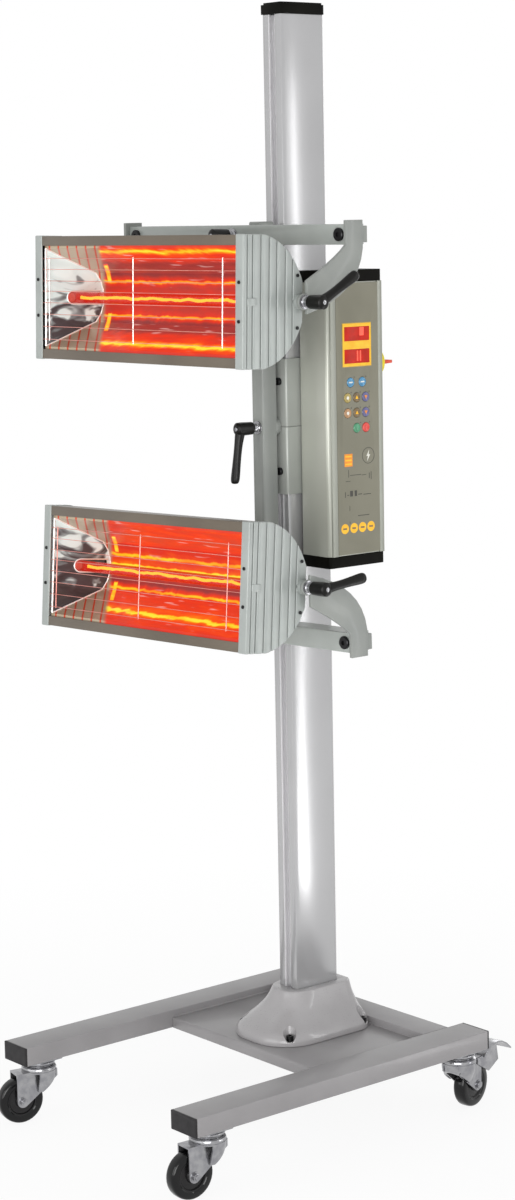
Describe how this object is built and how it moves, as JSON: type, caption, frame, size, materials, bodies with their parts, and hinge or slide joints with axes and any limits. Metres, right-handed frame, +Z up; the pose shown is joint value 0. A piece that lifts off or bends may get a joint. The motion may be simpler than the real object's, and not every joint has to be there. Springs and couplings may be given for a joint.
{
  "type": "infrared paint curing lamp",
  "caption": "Mobile infrared curing lamp: two tilting reflector cassettes on a turning boom, a carriage with a control box that slides on a column, and a U-shaped base on casters.",
  "frame": {"origin": "middle of the lamp's bounding box, on the floor", "axes": "+Z up along the column, -Y the way the cassettes face and the legs reach, +X towards the control box"},
  "size_m": [0.5938, 0.7218, 1.77],
  "materials": {
    "base_paint": "grey satin enamel on steel tube",
    "cast_grey": "light grey-green enamel on cast aluminium",
    "bare_aluminium": "satin anodised, drawn along the profile",
    "housing_anodised": "brown-grey anodised profile",
    "reflector_mirror": "bright polished sheet",
    "quartz_glow": "quartz tube, glowing orange red",
    "grille_steel": "bright wire",
    "caster_zinc": "bright zinc plated pressing",
    "wheel_black": "black, half gloss",
    "lever_black": "black, half gloss",
    "black_plastic": "black, matte",
    "panel_foil": "beige grey printed foil",
    "board_green": "circuit board with red display blocks",
    "key_plastic": "coloured round key tops",
    "switch_yellow": "yellow plastic",
    "switch_red": "red plastic"
  },
  "bodies": {
    "frame": {"left_leg": "base_paint", "right_leg": "base_paint", "rear_cross_tube": "base_paint", "base_tray": "base_paint", "column_foot": "cast_grey", "column": "bare_aluminium", "column_top_cap": "black_plastic"},
    "front_left_swivel": {"front_left_fork": "caster_zinc"},
    "front_right_swivel": {"front_right_fork": "caster_zinc"},
    "rear_left_swivel": {"rear_left_fork": "caster_zinc"},
    "rear_right_swivel": {"rear_right_fork": "caster_zinc"},
    "front_left_wheel": {"front_left_wheel": "wheel_black"},
    "front_right_wheel": {"front_right_wheel": "wheel_black"},
    "rear_left_wheel": {"rear_left_wheel": "wheel_black"},
    "rear_right_wheel": {"rear_right_wheel": "wheel_black"},
    "rear_left_brake": {"rear_left_brake_pedal": "caster_zinc"},
    "rear_right_brake": {"rear_right_brake_pedal": "caster_zinc"},
    "carriage": {"carriage": "bare_aluminium", "slide_shoe": "black_plastic", "control_box_shell": "bare_aluminium", "box_top_cap": "black_plastic", "box_bottom_cap": "black_plastic", "control_panel": "panel_foil", "display_board": "board_green", "switch_plate": "switch_yellow"},
    "main_switch": {"switch_knob": "switch_red"},
    "key_1": {"key_1": "key_plastic"},
    "key_2": {"key_2": "key_plastic"},
    "key_3": {"key_3": "key_plastic"},
    "key_4": {"key_4": "key_plastic"},
    "key_5": {"key_5": "key_plastic"},
    "key_6": {"key_6": "key_plastic"},
    "key_7": {"key_7": "key_plastic"},
    "key_8": {"key_8": "key_plastic"},
    "key_9": {"key_9": "key_plastic"},
    "key_10": {"key_10": "key_plastic"},
    "boom": {"boom_bar": "cast_grey"},
    "boom_clamp": {"boom_clamp_lever": "lever_black"},
    "upper_yoke": {"upper_crossbar": "cast_grey", "upper_left_arm": "cast_grey", "upper_right_arm": "cast_grey"},
    "upper_yoke_clamp": {"upper_yoke_lever": "lever_black"},
    "upper_cassette": {"upper_housing": "housing_anodised", "upper_left_end_cap": "cast_grey", "upper_right_end_cap": "cast_grey", "upper_reflector": "reflector_mirror", "upper_quartz_lamp": "quartz_glow", "upper_wire_grille": "grille_steel"},
    "upper_tilt_clamp": {"upper_tilt_lever": "lever_black"},
    "lower_yoke": {"lower_crossbar": "cast_grey", "lower_left_arm": "cast_grey", "lower_right_arm": "cast_grey"},
    "lower_yoke_clamp": {"lower_yoke_lever": "lever_black"},
    "lower_cassette": {"lower_housing": "housing_anodised", "lower_left_end_cap": "cast_grey", "lower_right_end_cap": "cast_grey", "lower_reflector": "reflector_mirror", "lower_quartz_lamp": "quartz_glow", "lower_wire_grille": "grille_steel"},
    "lower_tilt_clamp": {"lower_tilt_lever": "lever_black"}
  },
  "joints": [
    {"name": "front_left_swivel_turn", "type": "hinge", "parent": "frame", "child": "front_left_swivel", "pos_m": [-0.242, -0.2886, 0], "axis": [0, 0, 1], "continuous": true},
    {"name": "front_right_swivel_turn", "type": "hinge", "parent": "frame", "child": "front_right_swivel", "pos_m": [0.196, -0.2886, 0], "axis": [0, 0, 1], "continuous": true},
    {"name": "rear_left_swivel_turn", "type": "hinge", "parent": "frame", "child": "rear_left_swivel", "pos_m": [-0.242, 0.2324, 0], "axis": [0, 0, 1], "continuous": true},
    {"name": "rear_right_swivel_turn", "type": "hinge", "parent": "frame", "child": "rear_right_swivel", "pos_m": [0.196, 0.2324, 0], "axis": [0, 0, 1], "continuous": true},
    {"name": "front_left_wheel_spin", "type": "hinge", "parent": "front_left_swivel", "child": "front_left_wheel", "pos_m": [-0.24917, -0.32235, 0.0375], "axis": [0.9781, -0.2079, 0], "continuous": true},
    {"name": "front_right_wheel_spin", "type": "hinge", "parent": "front_right_swivel", "child": "front_right_wheel", "pos_m": [0.19419, -0.32305, 0.0375], "axis": [0.9986, -0.0523, 0], "continuous": true},
    {"name": "rear_left_wheel_spin", "type": "hinge", "parent": "rear_left_swivel", "child": "rear_left_wheel", "pos_m": [-0.24976, 0.26602, 0.0375], "axis": [-0.9744, -0.225, 0], "continuous": true},
    {"name": "rear_right_wheel_spin", "type": "hinge", "parent": "rear_right_swivel", "child": "rear_right_wheel", "pos_m": [0.18824, 0.26602, 0.0375], "axis": [-0.9744, -0.225, 0], "continuous": true},
    {"name": "rear_left_brake_press", "type": "hinge", "parent": "rear_left_swivel", "child": "rear_left_brake", "pos_m": [-0.24976, 0.26602, 0.078], "axis": [-0.9744, -0.225, 0], "range_deg": [0, 15]},
    {"name": "rear_right_brake_press", "type": "hinge", "parent": "rear_right_swivel", "child": "rear_right_brake", "pos_m": [0.18824, 0.26602, 0.078], "axis": [-0.9744, -0.225, 0], "range_deg": [0, 15]},
    {"name": "carriage_slide", "type": "slide", "parent": "frame", "child": "carriage", "axis": [0, 0, 1], "range_m": [-0.55, 0.5]},
    {"name": "main_switch_turn", "type": "hinge", "parent": "carriage", "child": "main_switch", "pos_m": [0.03905, 0.212, 1.21], "axis": [0, 1, 0], "range_deg": [0, 90]},
    {"name": "key_1_press", "type": "slide", "parent": "carriage", "child": "key_1", "axis": [-1, 0, 0], "range_m": [0, 0.0005], "stiffness_N_per_m": 300, "springref_m": -0.001},
    {"name": "key_2_press", "type": "slide", "parent": "carriage", "child": "key_2", "axis": [-1, 0, 0], "range_m": [0, 0.0005], "stiffness_N_per_m": 300, "springref_m": -0.001},
    {"name": "key_3_press", "type": "slide", "parent": "carriage", "child": "key_3", "axis": [-1, 0, 0], "range_m": [0, 0.0005], "stiffness_N_per_m": 300, "springref_m": -0.001},
    {"name": "key_4_press", "type": "slide", "parent": "carriage", "child": "key_4", "axis": [-1, 0, 0], "range_m": [0, 0.0005], "stiffness_N_per_m": 300, "springref_m": -0.001},
    {"name": "key_5_press", "type": "slide", "parent": "carriage", "child": "key_5", "axis": [-1, 0, 0], "range_m": [0, 0.0005], "stiffness_N_per_m": 300, "springref_m": -0.001},
    {"name": "key_6_press", "type": "slide", "parent": "carriage", "child": "key_6", "axis": [-1, 0, 0], "range_m": [0, 0.0005], "stiffness_N_per_m": 300, "springref_m": -0.001},
    {"name": "key_7_press", "type": "slide", "parent": "carriage", "child": "key_7", "axis": [-1, 0, 0], "range_m": [0, 0.0005], "stiffness_N_per_m": 300, "springref_m": -0.001},
    {"name": "key_8_press", "type": "slide", "parent": "carriage", "child": "key_8", "axis": [-1, 0, 0], "range_m": [0, 0.0005], "stiffness_N_per_m": 300, "springref_m": -0.001},
    {"name": "key_9_press", "type": "slide", "parent": "carriage", "child": "key_9", "axis": [-1, 0, 0], "range_m": [0, 0.0005], "stiffness_N_per_m": 300, "springref_m": -0.001},
    {"name": "key_10_press", "type": "slide", "parent": "carriage", "child": "key_10", "axis": [-1, 0, 0], "range_m": [0, 0.0005], "stiffness_N_per_m": 300, "springref_m": -0.001},
    {"name": "boom_rotate", "type": "hinge", "parent": "carriage", "child": "boom", "pos_m": [-0.023, 0.0526, 1.1145], "axis": [0, 1, 0], "range_deg": [-90, 90]},
    {"name": "boom_clamp_turn", "type": "hinge", "parent": "boom", "child": "boom_clamp", "pos_m": [-0.023, 0.0166, 1.1145], "axis": [0, 1, 0], "range_deg": [-90, 90]},
    {"name": "upper_yoke_turn", "type": "hinge", "parent": "boom", "child": "upper_yoke", "pos_m": [-0.023, 0.0136, 1.415], "axis": [0, 1, 0], "range_deg": [-45, 45]},
    {"name": "upper_yoke_clamp_turn", "type": "hinge", "parent": "upper_yoke", "child": "upper_yoke_clamp", "pos_m": [-0.023, -0.0254, 1.415], "axis": [0, 1, 0], "range_deg": [-90, 90]},
    {"name": "upper_cassette_tilt", "type": "hinge", "parent": "upper_yoke", "child": "upper_cassette", "pos_m": [-0.023, -0.1156, 1.32], "axis": [1, 0, 0], "range_deg": [-33, 70]},
    {"name": "upper_tilt_clamp_turn", "type": "hinge", "parent": "upper_yoke", "child": "upper_tilt_clamp", "pos_m": [0.248, -0.1156, 1.32], "axis": [1, 0, 0], "range_deg": [-90, 90]},
    {"name": "lower_yoke_turn", "type": "hinge", "parent": "boom", "child": "lower_yoke", "pos_m": [-0.023, 0.0136, 0.7995], "axis": [0, 1, 0], "range_deg": [-43.5, 46.5]},
    {"name": "lower_yoke_clamp_turn", "type": "hinge", "parent": "lower_yoke", "child": "lower_yoke_clamp", "pos_m": [-0.023, -0.0254, 0.7995], "axis": [0, 1, 0], "range_deg": [-90, 90]},
    {"name": "lower_cassette_tilt", "type": "hinge", "parent": "lower_yoke", "child": "lower_cassette", "pos_m": [-0.02549, -0.1156, 0.89447], "axis": [0.9997, 0, 0.0262], "range_deg": [-65, 38]},
    {"name": "lower_tilt_clamp_turn", "type": "hinge", "parent": "lower_yoke", "child": "lower_tilt_clamp", "pos_m": [0.24542, -0.1156, 0.90156], "axis": [0.9997, 0, 0.0262], "range_deg": [-90, 90]}
  ]
}
